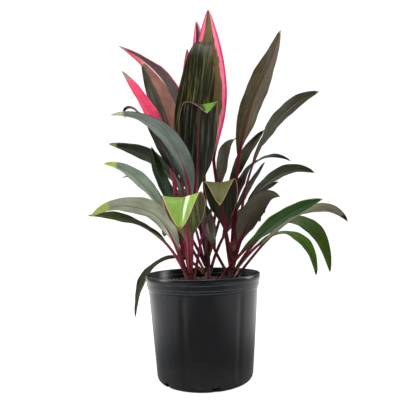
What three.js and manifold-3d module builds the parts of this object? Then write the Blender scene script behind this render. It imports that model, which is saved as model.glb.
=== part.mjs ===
import * as THREE from 'three';
import { mergeVertices } from 'three/addons/utils/BufferGeometryUtils.js';
import Module from 'manifold-3d';

// A potted maria cordyline: strap leaves on four canes, in soil, in a black nursery pot.
// Millimetres, +Z up. The origin is on the floor under the middle of the pot, and -Y is the front.

const wasm = await Module();
wasm.setup();

// Driving dimensions of the pot
const POT_HEIGHT = 210;
const RIM_RADIUS = 117.5;
const COLLAR_HEIGHT = 28;
const LOW_BAND = 5;
const MID_BAND = 10;
const BAND_STEP = 1.9;
const BAND_SLOPE = 1.5;
const LIP = 2.6;
const LIP_DEPTH = 4;
const WALL_TOP_RADIUS = 112;
const FOOT_RADIUS = 97;
const CORNER_RADIUS = 8;
const WALL = 2;
const FLOOR = 2.6;
const POT_SIDES = 60;
const CORNER_STEPS = 3;

// Six shallow flutes run down the wall, and six drain holes cut the bottom corner between them
const FLUTES = 6;
const FLUTE_DEPTH = 1.8;
const FIRST_FLUTE = 250;
const DRAIN_FROM_FLUTE = -28;
const DRAIN_WIDTH = 14;
const DRAIN_HEIGHT = 9;
const DRAIN_RISE = 4;
const DRAIN_SIDES = 12;

// Driving dimensions of the soil and the canes
const SOIL_TOP = 190;
const SOIL_SHOULDER = 2;
const SOIL_CROWN = 1;
const SOIL_RELIEF = 1.6;
const SOIL_LUMP = 10;
const CLEARANCE = 0.3;
const CANE_RADIUS = 6.3;
const CANE_SIDES = 12;
const CANE_ROOT = 60;
const SCAR_PITCH = 9;
const SCAR_DEPTH = 0.5;
const SCAR_REACH = 1.4;
const CANE_CROWN = 3;
const CANE_TOP_SHARE = 0.55;

// Driving dimensions that every leaf shares
const SEAT_GAP = 0.4;
const SHEATH_HALF_WIDTH = 4.6;
const SHEATH_LENGTH = 45;
const STALK_HALF_WIDTH = 4.2;
const TIP_HALF_WIDTH = 1.2;
const KEEL_BASE = 3.2;
const KEEL_TIP = 1.0;
const EDGE_BASE = 1.2;
const EDGE_TIP = 0.8;
const SHEATH_FOLD = 14;
const STALK_FOLD = 40;
const BLADE_FOLD = 9;
const TIP_FOLD = 11;

// How the blade's width runs: the share of its length where it is widest, and how slowly it fills
// out before that place and thins after it. It has opened out from the stalk's fold at `OPEN_AT`,
// and the midrib has thinned down at `THIN_AT` of the whole leaf.
const WIDEST_AT = 0.46;
const SKEW = 0.9;
const FILL_OUT = 1.25;
const THIN_OUT = 0.85;
const OPEN_AT = 0.25;
const THIN_AT = 0.77;

// The wave of the blade's edges, and how the leaf is divided: rings stand closer where it turns
const WAVE = 1.6;
const WAVE_LENGTH = 95;
const STEP = 2;
const RING_SPACING = 30;
const RING_TURN = 14;

const COLOURS = {
  pot: 0x17181b,
  soil: 0x4a3626,
  cane: 0x9a7650,
  pink: 0xb24e66,
  bronze: 0x4a3a2a,
  green: 0x3f5238,
  bright: 0x7ba34a,
};

const radians = THREE.MathUtils.degToRad;
const mix = THREE.MathUtils.lerp;
const clamp = THREE.MathUtils.clamp;

// Canes: where each one leaves the soil, how far it stands up, and how it leans
const CANES = {
  left: { foot: [-24, -30], tall: 116, heading: 190, lean: 3 },
  right: { foot: [57, -12], tall: 84, heading: 10, lean: 3 },
  middle: { foot: [24, -38], tall: 16, heading: 30, lean: 6 },
  back: { foot: [10, 45], tall: 88, heading: 90, lean: 4 },
};

// Leaves of each cane, from the lowest up. `at` is the height of the seat above the soil, `heading`
// the compass direction in which the leaf goes (0 is +X, 90 is +Y), and `lean` its angle from
// upright. The lists are spaced evenly from the seat to the tip. `roll` turns the blade about its
// midrib, `stalk` is where the blade begins, and `tint` names its colour.
const LEAVES = {
  left: [
    { at: 6, long: 284, wide: 54, stalk: 65, tint: 'green', heading: [215, 215, 200],
      lean: [20, 21, 30, 67, 92, 126], roll: [0, 40] },
    { at: 10, long: 212, wide: 40, stalk: 110, tint: 'green', heading: [345, 375],
      lean: [14, 12, 14, 25, 40, 60] },
    { at: 12, long: 262, wide: 58, stalk: 80, tint: 'green', heading: [100, 116],
      lean: [36, 50, 62, 74, 92, 112] },
    { at: 16, long: 245, wide: 46, stalk: 80, tint: 'green', heading: [172, 197, 197],
      lean: [26, 32, 48, 64, 80, 88], roll: [0, -30] },
    { at: 22, long: 258, wide: 76, stalk: 70, tint: 'bright', heading: [270, 266, 266],
      lean: [24, 27, 30, 35, 62, 154, 165], roll: [0, 8] },
    { at: 26, long: 284, wide: 50, stalk: 100, tint: 'green', heading: [200, 190],
      lean: [20, 18, 24, 38, 52, 84], roll: [0, 30] },
    { at: 31, long: 384, wide: 48, stalk: 140, tint: 'green', heading: [290, 188],
      lean: [19, 9, 15, 34, 60, 96], roll: [0, 15] },
    { at: 41, long: 296, wide: 52, stalk: 130, tint: 'green', heading: [250, 186],
      lean: [20, 5, 8, 18, 28, 36], roll: [0, -60] },
    { at: 51, long: 368, wide: 30, stalk: 170, tint: 'bronze', heading: [204, 176],
      lean: [24, 10, 3, 3, 5, 11, 23, 32, 43, 60, 215] },
    { at: 59, long: 422, wide: 38, stalk: 190, tint: 'pink', heading: [159, 168],
      lean: [23, 4, 9, 22, 30, 37], roll: [0, -40] },
    { at: 66, long: 445, wide: 56, stalk: 200, tint: 'bronze', heading: [110, 160],
      lean: [18, 6, 12, 20, 25, 27], roll: [0, -60] },
    { at: 64, long: 377, wide: 76, stalk: 110, tint: 'bronze', heading: [306, 288, 276],
      lean: [16, 12, 12, 13, 13, 14, 16, 26, 95, 118, 125] },
    { at: 96, long: 574, wide: 56, stalk: 190, tint: 'pink', heading: [80, 110, 132, 170],
      lean: [14, 19, 24, 31, 45, 57], roll: [0, -40] },
    { at: 106, long: 402, wide: 34, stalk: 150, tint: 'pink', heading: [32, 116, 110, 90],
      lean: [20, 12, 8, 6, 5, 4] },
    { at: 109, long: 458, wide: 76, stalk: 100, tint: 'bronze', heading: [152, 50, 8, 8, 40, 110],
      lean: [8, 8, 10, 10, 10, 10, 10, 10, 11, 52, 170], roll: [0, 40, 82, 82, 50, -20] },
  ],
  right: [
    { at: 8, long: 300, wide: 52, stalk: 80, tint: 'green', heading: [355, 368],
      lean: [42, 41, 48, 62, 92, 138], roll: [0, -25] },
    { at: 14, long: 428, wide: 50, stalk: 80, tint: 'green', heading: [50, 20],
      lean: [46, 56, 68, 98, 148, 174], roll: [0, -30] },
    { at: 16, long: 164, wide: 42, stalk: 60, tint: 'green', heading: [155, 130],
      lean: [32, 32, 26, 14, 8, 7] },
    { at: 22, long: 275, wide: 36, stalk: 80, tint: 'bright', heading: [20, 14],
      lean: [44, 49, 65, 112, 152, 176], roll: [0, -20] },
    { at: 25, long: 268, wide: 58, stalk: 90, tint: 'green', heading: [75, 54],
      lean: [28, 36, 48, 64, 86, 110] },
    { at: 30, long: 193, wide: 52, stalk: 55, tint: 'bronze', heading: [300, 343],
      lean: [27, 26, 26, 34, 46, 112], roll: [0, -45] },
    { at: 36, long: 267, wide: 62, stalk: 80, tint: 'bronze', heading: [250, 270],
      lean: [26, 25, 27, 38, 114, 160] },
    { at: 36, long: 220, wide: 38, stalk: 80, tint: 'green', heading: [48, 10],
      lean: [22, 19, 21, 32, 58, 62], roll: [0, -40] },
    { at: 44, long: 285, wide: 44, stalk: 100, tint: 'green', heading: [-6, 5],
      lean: [18, 14, 22, 50, 74, 112], roll: [0, -35] },
    { at: 50, long: 319, wide: 38, stalk: 110, tint: 'bronze', heading: [78, 4],
      lean: [18, 15, 20, 36, 72, 118], roll: [0, -10] },
    { at: 60, long: 423, wide: 50, stalk: 190, tint: 'bronze', heading: [25, 8],
      lean: [16, 11, 20, 33, 48, 70], roll: [0, -50] },
    { at: 64, long: 468, wide: 60, stalk: 190, tint: 'bronze', heading: [305, 378],
      lean: [12, 3, 10, 20, 25, 16], roll: [0, -60] },
    { at: 74, long: 538, wide: 74, stalk: 190, tint: 'pink', heading: [150, 95, 88],
      lean: [13, 13, 10, 6, 4, 3] },
  ],
  middle: [
    { at: 6, long: 264, wide: 46, stalk: 70, tint: 'bright', heading: [350, 354],
      lean: [36, 43, 48, 54, 64, 72], roll: [0, -50] },
  ],
  back: [
    { at: 10, long: 278, wide: 52, stalk: 70, tint: 'green', heading: [150, 172],
      lean: [44, 68, 107, 140, 165, 170] },
    { at: 12, long: 286, wide: 58, stalk: 90, tint: 'green', heading: [40, 62],
      lean: [20, 32, 50, 72, 95, 115] },
    { at: 18, long: 290, wide: 24, stalk: 130, tint: 'green', heading: [196, 182],
      lean: [29, 28, 26, 35, 50, 107] },
    { at: 22, long: 300, wide: 58, stalk: 90, tint: 'green', heading: [100, 95],
      lean: [24, 38, 56, 78, 100, 125] },
    { at: 27, long: 266, wide: 40, stalk: 90, tint: 'bronze', heading: [5, 14],
      lean: [23, 25, 29, 32, 33, 32], roll: [0, -40] },
    { at: 31, long: 282, wide: 44, stalk: 90, tint: 'green', heading: [218, 192, 190],
      lean: [28, 29, 28, 26, 18, 10], roll: [0, -60] },
    { at: 37, long: 364, wide: 48, stalk: 150, tint: 'green', heading: [170, 188],
      lean: [14, 14, 24, 40, 66, 78], roll: [0, 40] },
    { at: 47, long: 310, wide: 58, stalk: 110, tint: 'green', heading: [112, 124],
      lean: [24, 30, 42, 60, 84, 104] },
    { at: 52, long: 319, wide: 46, stalk: 150, tint: 'green', heading: [52, 30],
      lean: [16, 16, 15, 12, 25, 114] },
    { at: 60, long: 295, wide: 36, stalk: 140, tint: 'bronze', heading: [345, 364],
      lean: [19, 18, 19, 26, 34, 42], roll: [0, -50] },
    { at: 64, long: 410, wide: 60, stalk: 160, tint: 'bronze', heading: [150, 90, 90],
      lean: [14, 14, 20, 28, 38, 52] },
    { at: 78, long: 538, wide: 50, stalk: 200, tint: 'pink', heading: [96, 106],
      lean: [12, 6, 5, 3, 3, 24] },
  ],
};

// A smooth curve through evenly spaced values, read at t from 0 to 1
function along(values, t) {
  const last = values.length - 1;
  const place = t * last;
  const i = Math.min(Math.floor(place), last - 1);
  const u = place - i;
  const [a, b, c, d] = [-1, 0, 1, 2].map((k) => values[clamp(i + k, 0, last)]);
  const slopeIn = (c - a) / 2;
  const slopeOut = (d - b) / 2;
  const square = u * u;
  const cube = square * u;
  return (2 * cube - 3 * square + 1) * b + (cube - 2 * square + u) * slopeIn
    + (3 * square - 2 * cube) * c + (cube - square) * slopeOut;
}

// A horizontal unit vector on a compass heading
function compass(heading) {
  return new THREE.Vector3(Math.cos(radians(heading)), Math.sin(radians(heading)), 0);
}

// A closed body from its points and its faces, given as lists of point numbers
function body(points, faces) {
  const geometry = new THREE.BufferGeometry();
  geometry.setAttribute('position', new THREE.Float32BufferAttribute(points.flat(), 3));
  geometry.setIndex(faces.flat());
  return geometry;
}

function solid(geometry) {
  const plain = geometry.clone();
  plain.deleteAttribute('normal');
  plain.deleteAttribute('uv');
  const merged = mergeVertices(plain, 1e-4);
  const vertProperties = new Float32Array(merged.attributes.position.array);
  const triVerts = new Uint32Array(merged.index.array);
  return new wasm.Manifold(new wasm.Mesh({ numProp: 3, vertProperties, triVerts }));
}

function surface(manifold) {
  const mesh = manifold.getMesh();
  const geometry = new THREE.BufferGeometry();
  geometry.setAttribute('position', new THREE.BufferAttribute(mesh.vertProperties, 3));
  geometry.setIndex(new THREE.BufferAttribute(mesh.triVerts, 1));
  return geometry;
}

// Pot, as rings of one outline with the flutes pressed in

const FLUTE_LOW = CORNER_RADIUS + 5;
const FLUTE_HIGH = POT_HEIGHT - COLLAR_HEIGHT - 5;

function inFlute(height) {
  return height >= FLUTE_LOW && height <= FLUTE_HIGH;
}

function wallRadius(height) {
  return mix(FOOT_RADIUS, WALL_TOP_RADIUS, height / (POT_HEIGHT - COLLAR_HEIGHT));
}

// Rings of points round the axis, closed by a point on the axis at each end, with the flutes
// pressed into the rings that `fluted` picks
function revolve(outline, fluted) {
  const points = [];
  for (const [radius, height] of outline) {
    if (radius === 0) {
      points.push([0, 0, height]);
      continue;
    }
    for (let side = 0; side < POT_SIDES; side += 1) {
      const spoke = compass(FIRST_FLUTE + (side * 360) / POT_SIDES);
      const pressed = fluted(height) && side % (POT_SIDES / FLUTES) === 0;
      const reach = radius - (pressed ? FLUTE_DEPTH : 0);
      points.push([spoke.x * reach, spoke.y * reach, height]);
    }
  }
  const faces = [];
  const rings = outline.length - 2;
  const end = points.length - 1;
  for (let side = 0; side < POT_SIDES; side += 1) {
    const next = (side + 1) % POT_SIDES;
    faces.push([0, 1 + next, 1 + side]);
    for (let ring = 0; ring < rings - 1; ring += 1) {
      const low = 1 + ring * POT_SIDES;
      const high = low + POT_SIDES;
      faces.push([low + side, low + next, high + side], [low + next, high + next, high + side]);
    }
    const rim = 1 + (rings - 1) * POT_SIDES;
    faces.push([end, rim + side, rim + next]);
  }
  return body(points, faces);
}

// Oval rods that lie along the spokes between the flutes, through the bottom corner
function drainCutters() {
  const rod = new THREE.CylinderGeometry(0.5, 0.5, 1, DRAIN_SIDES);
  rod.scale(2 * DRAIN_HEIGHT - DRAIN_RISE, 4 * CORNER_RADIUS, DRAIN_WIDTH);
  rod.rotateZ(-Math.PI / 2);
  rod.translate(FOOT_RADIUS, 0, DRAIN_RISE);
  const turns = Array.from({ length: FLUTES }, (_, hole) => (hole * 360) / FLUTES);
  return turns.map((turn) => {
    const heading = FIRST_FLUTE + DRAIN_FROM_FLUTE + turn;
    return solid(rod.clone().rotateZ(radians(heading)));
  });
}

function makePot() {
  const collarFoot = POT_HEIGHT - COLLAR_HEIGHT;
  const lowBand = RIM_RADIUS - 2 * BAND_STEP;
  const midBand = RIM_RADIUS - BAND_STEP;
  const topBand = collarFoot + LOW_BAND + MID_BAND;
  const corner = [];
  for (let i = 0; i <= CORNER_STEPS; i += 1) {
    const turn = (i / (CORNER_STEPS + 0.2)) * (Math.PI / 2);
    corner.push([
      FOOT_RADIUS - CORNER_RADIUS * (1 - Math.sin(turn)),
      CORNER_RADIUS * (1 - Math.cos(turn)),
    ]);
  }
  const outline = [
    [0, 0],
    ...corner,
    [wallRadius(FLUTE_LOW), FLUTE_LOW],
    [wallRadius(FLUTE_HIGH), FLUTE_HIGH],
    [WALL_TOP_RADIUS, collarFoot],
    [lowBand, collarFoot + BAND_SLOPE],
    [lowBand, collarFoot + LOW_BAND],
    [midBand, collarFoot + LOW_BAND + BAND_SLOPE],
    [midBand, topBand],
    [RIM_RADIUS, topBand + BAND_SLOPE],
    [RIM_RADIUS, POT_HEIGHT - BAND_SLOPE],
    [RIM_RADIUS - BAND_SLOPE / 2, POT_HEIGHT],
    [RIM_RADIUS - LIP, POT_HEIGHT],
    [RIM_RADIUS - LIP - BAND_SLOPE, POT_HEIGHT - LIP_DEPTH],
    [WALL_TOP_RADIUS - WALL, collarFoot],
    [wallRadius(FLUTE_HIGH) - WALL, FLUTE_HIGH],
    [wallRadius(FLUTE_LOW) - WALL, FLUTE_LOW],
    [FOOT_RADIUS - 1.3 * WALL, CORNER_RADIUS],
    [FOOT_RADIUS - CORNER_RADIUS, FLOOR],
    [0, FLOOR],
  ];
  const whole = solid(revolve(outline, inFlute));
  const cut = drainCutters().reduce((pot, cutter) => pot.subtract(cutter), whole);
  return surface(cut);
}

// Soil, standing on the pot's floor and clear of its wall

function makeSoil() {
  const collarFoot = POT_HEIGHT - COLLAR_HEIGHT;
  const inset = WALL + CLEARANCE;
  const topRadius = WALL_TOP_RADIUS - inset + CLEARANCE;
  const shoulder = SOIL_TOP - SOIL_SHOULDER;
  const mound = [0.93, 0.74, 0.5, 0.25].map((share) => [
    topRadius * share,
    SOIL_TOP + SOIL_CROWN * (1 - share),
  ]);
  const geometry = revolve([
    [0, FLOOR + CLEARANCE],
    [FOOT_RADIUS - CORNER_RADIUS - CLEARANCE, FLOOR + CLEARANCE],
    [FOOT_RADIUS - 1.3 * inset, CORNER_RADIUS],
    [wallRadius(FLUTE_LOW) - inset, FLUTE_LOW],
    [wallRadius(FLUTE_HIGH) - inset, FLUTE_HIGH],
    [topRadius - CLEARANCE, collarFoot],
    [topRadius, shoulder],
    ...mound,
    [0, SOIL_TOP + SOIL_CROWN],
  ], (height) => height >= CORNER_RADIUS && height <= shoulder);
  const place = geometry.attributes.position;
  for (let i = 0; i < place.count; i += 1) {
    const [x, y, z] = [place.getX(i), place.getY(i), place.getZ(i)];
    if (z >= SOIL_TOP) {
      place.setZ(i, z + SOIL_RELIEF * Math.sin(x / SOIL_LUMP + 1) * Math.cos(y / SOIL_LUMP));
    }
  }
  const holes = Object.values(CANES).map((cane) => solid(caneHole(cane)));
  return surface(holes.reduce((soil, hole) => soil.subtract(hole), solid(geometry)));
}

// Canes, with a shallow groove where each old leaf fell

function axisPoint(cane, height) {
  const drift = compass(cane.heading).multiplyScalar(height * Math.tan(radians(cane.lean)));
  return new THREE.Vector3(cane.foot[0] + drift.x, cane.foot[1] + drift.y, SOIL_TOP + height);
}

// A lathe outline stood up at the cane's foot and sheared along its lean
function stand(cane, outline) {
  const profile = outline.map(([radius, height]) => new THREE.Vector2(radius, height));
  const lathe = new THREE.LatheGeometry(profile, CANE_SIDES);
  lathe.rotateX(Math.PI / 2);
  const drift = compass(cane.heading).multiplyScalar(Math.tan(radians(cane.lean)));
  const [x, y] = cane.foot;
  const shear = new THREE.Matrix4();
  shear.set(1, 0, drift.x, x, 0, 1, drift.y, y, 0, 0, 1, SOIL_TOP, 0, 0, 0, 1);
  return lathe.applyMatrix4(shear);
}

function makeCane(cane) {
  const outline = [[0, -CANE_ROOT], [CANE_RADIUS, -CANE_ROOT]];
  for (let height = SCAR_PITCH; height < cane.tall - SCAR_PITCH; height += SCAR_PITCH) {
    outline.push([CANE_RADIUS, height - SCAR_REACH]);
    outline.push([CANE_RADIUS - SCAR_DEPTH, height]);
    outline.push([CANE_RADIUS, height + SCAR_REACH]);
  }
  outline.push([CANE_RADIUS, cane.tall - CANE_CROWN]);
  outline.push([CANE_RADIUS * CANE_TOP_SHARE, cane.tall], [0, cane.tall]);
  return stand(cane, outline);
}

// The blind hole that a cane's root fills
function caneHole(cane) {
  const radius = CANE_RADIUS + CLEARANCE;
  const low = -CANE_ROOT - CLEARANCE;
  return stand(cane, [[0, low], [radius, low], [radius, cane.tall], [0, cane.tall]]);
}

// Leaves

// Half width, V fold in degrees, and thickness at the midrib and the edge, at a distance from the seat
function section(leaf, distance) {
  const sheath = Math.min(distance / SHEATH_LENGTH, 1);
  const blade = clamp((distance - leaf.stalk) / (leaf.long - leaf.stalk), 0, 1);
  const whole = distance / leaf.long;
  const stalkHalf = mix(mix(SHEATH_HALF_WIDTH, STALK_HALF_WIDTH, sheath), TIP_HALF_WIDTH, blade);
  const bow = Math.sin(Math.PI * blade ** SKEW);
  const swell = bow ** (blade < WIDEST_AT ? FILL_OUT : THIN_OUT);
  const stalkFold = mix(SHEATH_FOLD, STALK_FOLD, sheath);
  const open = Math.min(blade / OPEN_AT, 1);
  return {
    half: stalkHalf + (leaf.wide / 2 - STALK_HALF_WIDTH / 2) * swell,
    fold: mix(mix(stalkFold, BLADE_FOLD, open), TIP_FOLD, Math.max(0, blade - 0.5) * 2),
    keel: mix(KEEL_BASE, KEEL_TIP, Math.min(whole / THIN_AT, 1)),
    edge: mix(EDGE_BASE, EDGE_TIP, whole),
    blade,
  };
}

// The midrib as a chain of short steps from the seat
function midrib(cane, leaf) {
  const start = axisPoint(cane, leaf.at);
  start.addScaledVector(compass(leaf.heading[0]), CANE_RADIUS + SEAT_GAP);
  const steps = Math.round(leaf.long / STEP);
  const chain = [];
  const place = start.clone();
  let measure = 0;
  let before = null;
  for (let i = 0; i <= steps; i += 1) {
    const t = i / steps;
    const heading = along(leaf.heading, t);
    const lean = radians(along(leaf.lean, t));
    const forward = compass(heading).multiplyScalar(Math.sin(lean));
    forward.z = Math.cos(lean);
    if (before) {
      const turn = THREE.MathUtils.radToDeg(before.angleTo(forward));
      measure += leaf.long / steps / RING_SPACING + turn / RING_TURN;
      place.addScaledVector(forward, leaf.long / steps);
    }
    before = forward;
    chain.push({ t, measure, heading, forward, place: place.clone(), distance: t * leaf.long });
  }
  return chain;
}

// Six points round the midrib: left edge, midrib and right edge, on the upper face and the lower
function ring(leaf, link, phase) {
  const { half, fold, keel, edge, blade } = section(leaf, link.distance);
  const roll = radians(along(leaf.roll ?? [0, 0], link.t));
  const across = compass(link.heading + 90);
  const flat = new THREE.Vector3().crossVectors(link.forward, across);
  const side = across.clone().multiplyScalar(Math.cos(roll)).addScaledVector(flat, Math.sin(roll));
  const up = flat.multiplyScalar(Math.cos(roll)).addScaledVector(across, -Math.sin(roll));
  const rise = half * Math.sin(radians(fold));
  const reach = half * Math.cos(radians(fold));
  const swing = WAVE * Math.sin(Math.PI * blade);
  const upper = [-1, 0, 1].map((k) => {
    const ripple = swing * Math.sin((2 * Math.PI * link.distance) / WAVE_LENGTH + phase + 2 * k) * k * k;
    return link.place.clone().addScaledVector(side, k * reach).addScaledVector(up, k * k * rise + ripple);
  });
  const lower = [-1, 0, 1].map((k, i) => {
    const face = up.clone().multiplyScalar(Math.cos(radians(fold * k)));
    face.addScaledVector(side, -Math.sin(radians(fold * k)));
    return upper[i].clone().addScaledVector(face, -(k === 0 ? keel : edge));
  });
  return [...upper, ...lower].map((p) => p.toArray());
}

function makeLeaf(cane, leaf, phase) {
  const chain = midrib(cane, leaf);
  const total = chain.at(-1).measure;
  const count = Math.ceil(total);
  const rings = [];
  for (let i = 0; i <= count; i += 1) {
    const link = chain.find((one) => one.measure >= (i / count) * total - 1e-9);
    rings.push(ring(leaf, link, phase));
  }
  const faces = [];
  for (let i = 0; i < count; i += 1) {
    const low = i * 6;
    const high = low + 6;
    for (let k = 0; k < 2; k += 1) {
      const [a, b, c, d] = [low + k, low + k + 1, high + k + 1, high + k];
      faces.push([a, c, b], [a, d, c]);
      faces.push([a + 3, b + 3, c + 3], [a + 3, c + 3, d + 3]);
    }
    faces.push([low, high + 3, high], [low, low + 3, high + 3]);
    faces.push([low + 2, high + 2, high + 5], [low + 2, high + 5, low + 5]);
  }
  const end = count * 6;
  faces.push([0, 4, 3], [0, 1, 4], [1, 5, 4], [1, 2, 5]);
  faces.push([end, end + 3, end + 4], [end, end + 4, end + 1]);
  faces.push([end + 1, end + 4, end + 5], [end + 1, end + 5, end + 2]);
  return body(rings.flat(), faces);
}

// The whole plant in its pot

const model = new THREE.Group();

function add(name, geometry, colour, roughness) {
  const material = new THREE.MeshStandardMaterial({ color: colour, roughness, metalness: 0 });
  const mesh = new THREE.Mesh(geometry, material);
  mesh.name = name;
  model.add(mesh);
}

add('pot', makePot(), COLOURS.pot, 0.4);
add('soil', makeSoil(), COLOURS.soil, 0.95);
for (const [side, cane] of Object.entries(CANES)) {
  add(`cane_${side}`, makeCane(cane), COLOURS.cane, 0.8);
  LEAVES[side].forEach((leaf, i) => {
    add(`leaf_${side}_${i + 1}`, makeLeaf(cane, leaf, i), COLOURS[leaf.tint], 0.5);
  });
}

export default model;
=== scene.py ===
import math
import random

import bmesh
import bpy
from mathutils import Matrix, Vector, noise


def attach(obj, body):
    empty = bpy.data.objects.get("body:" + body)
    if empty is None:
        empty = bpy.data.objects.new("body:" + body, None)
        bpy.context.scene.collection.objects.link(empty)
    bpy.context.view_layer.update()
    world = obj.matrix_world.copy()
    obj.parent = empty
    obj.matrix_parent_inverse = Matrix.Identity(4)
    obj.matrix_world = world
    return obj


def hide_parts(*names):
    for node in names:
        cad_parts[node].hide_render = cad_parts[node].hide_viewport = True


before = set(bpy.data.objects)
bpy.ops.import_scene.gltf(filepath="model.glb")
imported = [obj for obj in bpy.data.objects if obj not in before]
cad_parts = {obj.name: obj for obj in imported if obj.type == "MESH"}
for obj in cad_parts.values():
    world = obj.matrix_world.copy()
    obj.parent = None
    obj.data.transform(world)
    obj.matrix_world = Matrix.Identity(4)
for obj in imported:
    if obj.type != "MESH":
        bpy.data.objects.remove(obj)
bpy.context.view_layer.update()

# A potted maria cordyline: strap leaves on four canes, in soil, in a black nursery pot.
# Blender works in metres, and the plant's own sizes below are written in millimetres.

MM = 0.001


# Small sums that the whole script uses

def mix(low, high, share):
    return low + (high - low) * share


def clamp(value, low=0.0, high=1.0):
    return max(low, min(high, value))


def compass(heading):
    """A level unit vector on a compass heading: 0 is +X and 90 is +Y."""
    return Vector((math.cos(math.radians(heading)), math.sin(math.radians(heading)), 0.0))


def along(values, t):
    """A smooth curve through evenly spaced values, read at t from 0 to 1."""
    last = len(values) - 1
    place = t * last
    i = min(math.floor(place), last - 1)
    u = place - i
    a, b, c, d = (values[int(clamp(i + k, 0, last))] for k in (-1, 0, 1, 2))
    square = u * u
    cube = square * u
    start = (2 * cube - 3 * square + 1) * b + (cube - 2 * square + u) * (c - a) / 2
    return start + (3 * square - 2 * cube) * c + (cube - square) * (d - b) / 2


def paint(code):
    """A linear colour from a hexadecimal screen colour."""
    parts = [((code >> shift) & 255) / 255 for shift in (16, 8, 0)]
    linear = [part / 12.92 if part < 0.04045 else ((part + 0.055) / 1.055) ** 2.4 for part in parts]
    return (*linear, 1.0)


# Sizes of the pot, the soil and the canes

POT_HEIGHT = 210
RIM_RADIUS = 117.5
COLLAR_HEIGHT = 28
LOW_BAND = 5
MID_BAND = 10
BAND_STEP = 1.9
BAND_SLOPE = 1.5
WALL_TOP_RADIUS = 112
FOOT_RADIUS = 97
CORNER_RADIUS = 8
CORNER_STEPS = 9
WALL = 2
FLOOR_UNDERSIDE = 1.2
FLOOR_TOP = 3.2
POT_TURNS = 180
FLUTES = 6
FLUTE_DEPTH = 1.8
FLUTE_REACH = 4.6
FIRST_FLUTE = 250
DRAIN_FROM_FLUTE = -28
DRAIN_HALF_WIDTH = 7
DRAIN_MIDDLE = 4
DRAIN_TOP = 11
DRAIN_INNER_RADIUS = 90
SAG = 0.45
SAG_LENGTH = 48

SOIL_TOP = 190
SOIL_RADIUS = 109.5
SOIL_TURNS = 160
SOIL_SHY_OF_WALL = 4.4
SOIL_LUMPS = ((1.5, 24), (1.3, 9), (0.7, 3.4))
CANE_RADIUS = 6.3
CANE_ROOT = 40
CANE_TURNS = 28
CANE_STEP = 1.5
CANE_TOP_ROUND = 4
CANE_LUMP = 0.05
CANE_LUMP_LENGTH = 5
SCAR_PITCH = 9
SCAR_DEPTH = 0.28
SCAR_HALF_WIDTH = 1.6
SCAR_LIP = 0.12
SCAR_LIP_AT = 2.2
SEAT_GAP = 0.4
JOIN_WITHIN = 0.01

# Sizes that every leaf shares

SHEATH_HALF_WIDTH = 4.6
SHEATH_LENGTH = 45
STALK_HALF_WIDTH = 4.2
TIP_HALF_WIDTH = 1.2
KEEL_BASE = 3.2
KEEL_TIP = 1.0
EDGE_BASE = 1.2
EDGE_TIP = 0.7
SHEATH_FOLD = 22
STALK_FOLD = 40
BLADE_FOLD = 9
TIP_FOLD = 11
WIDEST_AT = 0.46
SKEW = 0.9
FILL_OUT = 1.25
THIN_OUT = 0.85
OPEN_AT = 0.25
THIN_AT = 0.77
TIP_ROUND = 9
TIP_BLUNT = 0.22
WAVE = 1.6
WAVE_LENGTH = 95
CRIMP = 0.45
CRIMP_LENGTH = 5.3
GROOVE_DEPTH = 0.5
GROOVE_REACH = 1.7
KEEL_REACH_BASE = 3.4
KEEL_REACH_TIP = 1.7
STEP = 2

# Steps that set each leaf's grain apart from the next one's
LEAF_SEED = 3.7
CANE_SEED = 11.3

# Where the points of a leaf's ring lie across it, as shares of its half width
ACROSS = (-1, -0.975, -0.86, -0.68, -0.48, -0.29, -0.13, 0, 0.13, 0.29, 0.48, 0.68, 0.86, 0.975, 1)


# Colours of the plant, in a grower's words

NIGHT_GREEN = 0x12200C
DEEP_GREEN = 0x1F3A12
MID_GREEN = 0x2C5A1A
FRESH_GREEN = 0x3F7A22
LIME = 0x82A24E
CHARTREUSE = 0xB8C468
OLIVE = 0x4C4E28
BRONZE = 0x35301A
BROWN = 0x4A3420
GREY_OLIVE = 0x626248
GREY_GREEN = 0x5E6C58
SLATE = 0x66706A
SMOKE = 0x77746A
CREAM = 0xD8CFA0
TAN = 0xB08F70
DUSK_PINK = 0xB07A70
CORAL = 0xDC5F70
HOT_PINK = 0xE84C7C
PALE_PINK = 0xF08AA4
CRIMSON = 0x9C1F44
WINE = 0x62182C
MAROON = 0x481420
STRAW = 0xA08C5C
BLACK_TIP = 0x1E1A12

# What a leaf looks like unless its own row says otherwise. `over` is the face that turns to the
# cane when the leaf stands, and `under` its back. `left` and `right` are the margins' widths in
# millimetres, as seen by someone at the cane who looks along the leaf, and `band` is a paler
# strip inside the margin. `half` paints the blade's left half, and `flash` is one lengthwise
# stripe at a share of the width, between two shares of the leaf's length. On some leaves these
# are painted light and shade: a shaded left half against a right half painted as lit with sheen,
# and a painted patch of light on a folded-over tip.

LOOK = {
    "over": DEEP_GREEN, "under": GREY_OLIVE, "streak": OLIVE, "streaks": 0.35,
    "margin": MAROON, "left": 0.9, "right": 0.9, "band": 0.0, "band_colour": PALE_PINK,
    "rib": WINE, "rib_width": 1.3, "stem": WINE, "tip": STRAW, "tip_from": 0.975,
    "half": DEEP_GREEN, "halved": 0.0,
    "flash": CREAM, "flash_at": 0.3, "flash_width": 0.1, "flash_from": 0.6, "flash_to": 0.9,
    "flashed": 0.0, "gloss": 0.36,
}

# Which of these are colours, and which of those are drawn a little deeper than their code
COLOUR_KEYS = ("over", "under", "streak", "margin", "band_colour", "rib", "stem", "tip", "half",
               "flash")
DEEP_KEYS = ("over", "under", "streak", "half", "stem")

CANES = {
    "left": {"foot": (-24, -30), "tall": 116, "heading": 190, "lean": 3},
    "right": {"foot": (57, -12), "tall": 84, "heading": 10, "lean": 3},
    "middle": {"foot": (24, -38), "tall": 16, "heading": 30, "lean": 6},
    "back": {"foot": (10, 45), "tall": 88, "heading": 90, "lean": 4},
}


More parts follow.
